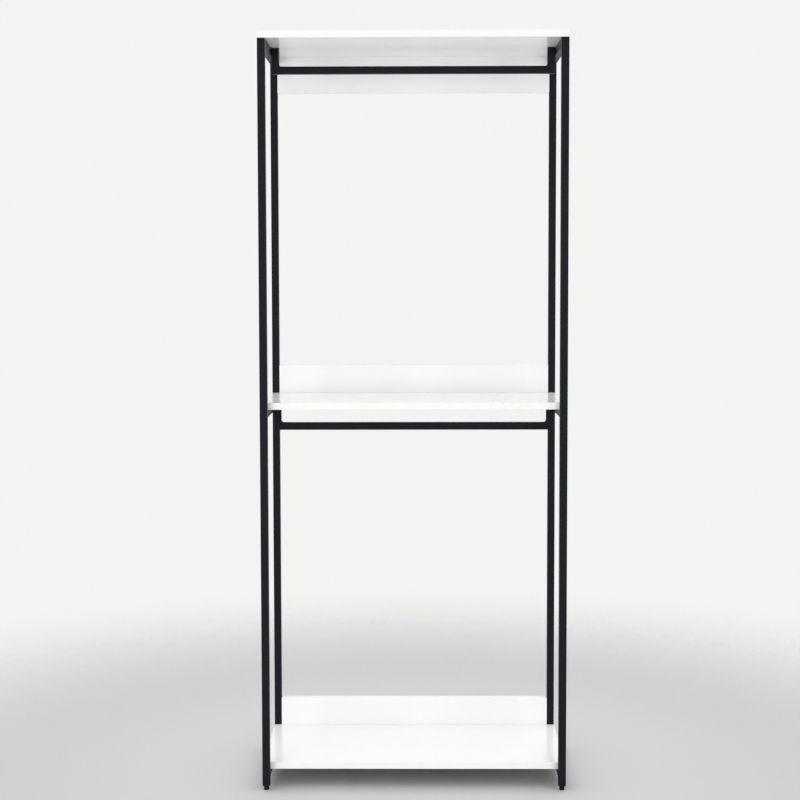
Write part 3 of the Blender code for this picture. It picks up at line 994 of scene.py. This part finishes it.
facing, tree, place = new_material("white_melamine_facing")
pearl = add_node(tree, "ShaderNodeTexNoise", {"Vector": place, **PEARL}).outputs["Fac"]
cloud = add_node(tree, "ShaderNodeTexNoise", {"Vector": place, **CLOUD}).outputs["Fac"]
white = add_node(tree, "ShaderNodeMix", {0: cloud, **FACING_TONES}, data_type="RGBA").outputs[MIX_RESULT]
gloss = add_node(tree, "ShaderNodeMapRange", {"Value": cloud, **NOISE_SPAN, **FACING_ROUGHNESS}).outputs[0]
relief = add_node(tree, "ShaderNodeBump", {"Height": pearl, **PEARL_RELIEF}).outputs[0]
shader = add_node(
    tree,
    "ShaderNodeBsdfPrincipled",
    {"Base Color": white, "Roughness": gloss, "Normal": relief, "IOR": RESIN_IOR},
)
add_node(tree, "ShaderNodeOutputMaterial", {"Surface": shader.outputs[0]})
print("whites of a board:", [round(tone[0], 3) for tone in FACING_TONES.values()])

# %% [markdown]
# ## White edge band
#
# The edge band is a strip of extruded plastic, a little warmer and a little duller than the facing. The
# extruder leaves weak lines along it. A wave texture would draw them too evenly, so they are a noise that
# is squeezed in height, which gives long lines along the edges of the shelves.

# %% Edge band
LINES = {"Scale": per_metre(25), "Detail": 3}
LINE_SQUEEZE = (1, 1, 12)
BAND_TONES = {MIX_FIRST: linear("#F1F1ED"), MIX_SECOND: linear("#F5F5F2")}
BAND_ROUGHNESS = {"To Min": 0.24, "To Max": 0.32}
BAND_IOR = 1.53

band, tree, place = new_material("white_plastic_edge_band")
squeezed = add_node(tree, "ShaderNodeMapping", {"Vector": place, "Scale": LINE_SQUEEZE}).outputs[0]
lines = add_node(tree, "ShaderNodeTexNoise", {"Vector": squeezed, **LINES}).outputs["Fac"]
warm = add_node(tree, "ShaderNodeMix", {0: lines, **BAND_TONES}, data_type="RGBA").outputs[MIX_RESULT]
shine = add_node(tree, "ShaderNodeMapRange", {"Value": lines, **NOISE_SPAN, **BAND_ROUGHNESS}).outputs[0]
shader = add_node(
    tree, "ShaderNodeBsdfPrincipled", {"Base Color": warm, "Roughness": shine, "IOR": BAND_IOR}
)
add_node(tree, "ShaderNodeOutputMaterial", {"Surface": shader.outputs[0]})
dress([*shelves.values(), *backs.values()], facing, band)

# %% [markdown]
# ## Plated, blackened and moulded pieces
#
# The screws of the back boards are bright zinc plate: a metal with a bluish grey and a fine, uneven
# dullness. The other screws, the bolts, nuts and studs are blackened steel, dark with a low oily sheen. The
# plugs and pads are moulded polyethylene with a fine spark grain from the mould. Each could have a network
# of its own, but they differ only in colour, sheen and grain, so one loop builds the three from a table.
# The grain of the two metals is drawn coarser than it is, because the real one is too fine to show.

# %% Small pieces
SMALL_BUMP = 0.3
SMALL_SPECULAR = 0.25
SMALL_FINISHES = {
    "zinc": {
        "name": "bright_zinc_plate",
        "grain": {"Scale": per_metre(3.0), "Detail": 3},
        "relief": {"Strength": SMALL_BUMP, "Distance": 0.00001},
        "tones": {MIX_FIRST: linear("#A9ADB2"), MIX_SECOND: linear("#C3C6C9")},
        "roughness": {"To Min": 0.28, "To Max": 0.42},
        "metallic": 1.0,
    },
    "black_steel": {
        "name": "blackened_steel",
        "grain": {"Scale": per_metre(2.5), "Detail": 3},
        "relief": {"Strength": SMALL_BUMP, "Distance": 0.00001},
        "tones": {MIX_FIRST: linear("#1D1E20"), MIX_SECOND: linear("#2B2C2F")},
        "roughness": {"To Min": 0.34, "To Max": 0.48},
        "metallic": 1.0,
    },
    "plastic": {
        "name": "moulded_black_polyethylene",
        "grain": {"Scale": per_metre(0.8), "Detail": 3},
        "relief": {"Strength": SMALL_BUMP, "Distance": 0.00004},
        "tones": {MIX_FIRST: linear("#131314"), MIX_SECOND: linear("#1B1B1D")},
        "roughness": {"To Min": 0.46, "To Max": 0.60},
        "metallic": 0.0,
    },
}

for slot, recipe in SMALL_FINISHES.items():
    finish, tree, place = new_material(recipe["name"])
    grain = add_node(tree, "ShaderNodeTexNoise", {"Vector": place, **recipe["grain"]}).outputs["Fac"]
    tone = add_node(tree, "ShaderNodeMix", {0: grain, **recipe["tones"]}, data_type="RGBA")
    dull = add_node(tree, "ShaderNodeMapRange", {"Value": grain, **NOISE_SPAN, **recipe["roughness"]})
    relief = add_node(tree, "ShaderNodeBump", {"Height": grain, **recipe["relief"]})
    shader = add_node(
        tree,
        "ShaderNodeBsdfPrincipled",
        {
            "Base Color": tone.outputs[MIX_RESULT],
            "Roughness": dull.outputs[0],
            "Metallic": recipe["metallic"],
            "Normal": relief.outputs[0],
            "Specular IOR Level": SMALL_SPECULAR,
        },
    )
    add_node(tree, "ShaderNodeOutputMaterial", {"Surface": shader.outputs[0]})
    dress([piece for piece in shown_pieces() if piece.get("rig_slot") == slot], finish)

# %% [markdown]
# ## Floor
#
# The rack stands on a plain pale floor, a round sheet that fades out into the background. A large sheet
# curved up behind the rack would do for one view, but it would hide the rack from behind. Here the fade is
# in the material: away from the rack the sheet turns transparent, so no horizon line crosses the picture
# from any side, and close to the rack it keeps the shadow.

# %% Floor
FLOOR_COLOUR = linear("#D8D9D9")
FLOOR_ROUGHNESS, FLOOR_SPECULAR = 0.7, 0.1
FLOOR_REACH = 3.0
FLOOR_DROP = 0.0002
FADE_START, FADE_END = 0.6, 2.6

floor = add_surface("floor", spun([(FLOOR_REACH, -2 * FLOOR_DROP), (FLOOR_REACH, -FLOOR_DROP)]))

floor_paint, tree, place = new_material("pale_floor")
away = add_node(tree, "ShaderNodeVectorMath", {0: place}, operation="LENGTH")
fade = add_node(
    tree,
    "ShaderNodeMapRange",
    {"Value": away.outputs["Value"], "From Min": FADE_START, "From Max": FADE_END},
    interpolation_type="SMOOTHSTEP",
)
matt = add_node(
    tree,
    "ShaderNodeBsdfPrincipled",
    {"Base Color": FLOOR_COLOUR, "Roughness": FLOOR_ROUGHNESS, "Specular IOR Level": FLOOR_SPECULAR},
)
clear = add_node(tree, "ShaderNodeBsdfTransparent")
faded = add_node(
    tree, "ShaderNodeMixShader", {0: fade.outputs[0], 1: matt.outputs[0], 2: clear.outputs[0]}
)
add_node(tree, "ShaderNodeOutputMaterial", {"Surface": faded.outputs[0]})
dress([floor], floor_paint)
print("floor: fades from", FADE_START, "to", FADE_END, "m")

# %% [markdown]
# ## Background
#
# The background is one even white, where the camera looks past the rack and where a glossy surface mirrors
# it. What lights the rack is a room that is bright above, less bright below and dark round its sides. One
# white world could do both, but it would light everything evenly and take away the shadows. So the kind of
# ray decides: rays from the camera, mirrored ones and ones through glass see the white, and all others see
# the room.

# %% Background
BACKGROUND = linear("#F3F3F2")
ROOM_COLOUR = linear("#FFFFFF")
ROOM_SIDES, ROOM_CEILING, ROOM_FLOOR = 0.02, 1.54, 0.84
CEILING_HEIGHT, FLOOR_HEIGHT = 1.0, -0.3

bpy.context.scene.view_settings.view_transform = "Standard"
world = bpy.data.worlds.new("room")
bpy.context.scene.world = world
world.use_nodes = True
tree = world.node_tree
tree.nodes.clear()
direction = add_node(tree, "ShaderNodeTexCoord").outputs["Generated"]
height = add_node(tree, "ShaderNodeSeparateXYZ", {0: direction}).outputs["Z"]
above = add_node(
    tree,
    "ShaderNodeMapRange",
    {"Value": height, "From Max": CEILING_HEIGHT, "To Min": ROOM_SIDES, "To Max": ROOM_CEILING},
)
below = add_node(
    tree,
    "ShaderNodeMapRange",
    {"Value": height, "From Max": FLOOR_HEIGHT, "To Min": ROOM_SIDES, "To Max": ROOM_FLOOR},
)
strength = add_node(
    tree, "ShaderNodeMath", {0: above.outputs[0], 1: below.outputs[0]}, operation="MAXIMUM"
)
room = add_node(tree, "ShaderNodeBackground", {"Color": ROOM_COLOUR, "Strength": strength.outputs[0]})
backdrop = add_node(tree, "ShaderNodeBackground", {"Color": BACKGROUND, "Strength": 1.0})
rays = add_node(tree, "ShaderNodeLightPath").outputs
mirrored = add_node(
    tree, "ShaderNodeMath", {0: rays["Is Glossy Ray"], 1: rays["Is Transmission Ray"]}, operation="MAXIMUM"
)
looked = add_node(
    tree, "ShaderNodeMath", {0: rays["Is Camera Ray"], 1: mirrored.outputs[0]}, operation="MAXIMUM"
)
both = add_node(
    tree, "ShaderNodeMixShader", {0: looked.outputs[0], 1: room.outputs[0], 2: backdrop.outputs[0]}
)
add_node(tree, "ShaderNodeOutputWorld", {"Surface": both.outputs[0]})
print("background in linear light:", [round(value, 3) for value in BACKGROUND[:3]])

# %% [markdown]
# ## Light
#
# The room lights every shelf from above, and a lamp close above would burn out the upper one. So two large
# soft light panels stand on either side of the camera, the left one stronger, and a third lights the back.
# They are hidden from reflections, so that no glossy shelf mirrors one. They also leave the floor to the
# room, which keeps the shadow under the lower shelf dark.

# %% Light
PANEL_SIZE = (2.4, 1.8)
PANEL_AIM = (0.0, 0.0, 1.0)
PANELS = {
    "panel_left": ((-3.0, -4.4, 1.3), 84),
    "panel_right": ((2.6, -4.6, 1.3), 60),
    "panel_rear": ((2.9, 4.0, 1.3), 64),
}

rack_only = bpy.data.collections.new("rack_only")
rack_only.objects.link(floor)
rack_only.collection_objects[0].light_linking.link_state = "EXCLUDE"
for name, (spot, watts) in PANELS.items():
    panel = bpy.data.objects.new(name, bpy.data.lights.new(name, "AREA"))
    panel.data.shape = "RECTANGLE"
    panel.data.size, panel.data.size_y = PANEL_SIZE
    panel.data.energy = watts
    panel.location = spot
    panel.visible_glossy = False
    panel.light_linking.receiver_collection = rack_only
    panel.rotation_euler = (Vector(PANEL_AIM) - Vector(spot)).to_track_quat("-Z", "Y").to_euler()
    bpy.context.scene.collection.objects.link(panel)
print("light:", len(PANELS), "panels and the room")
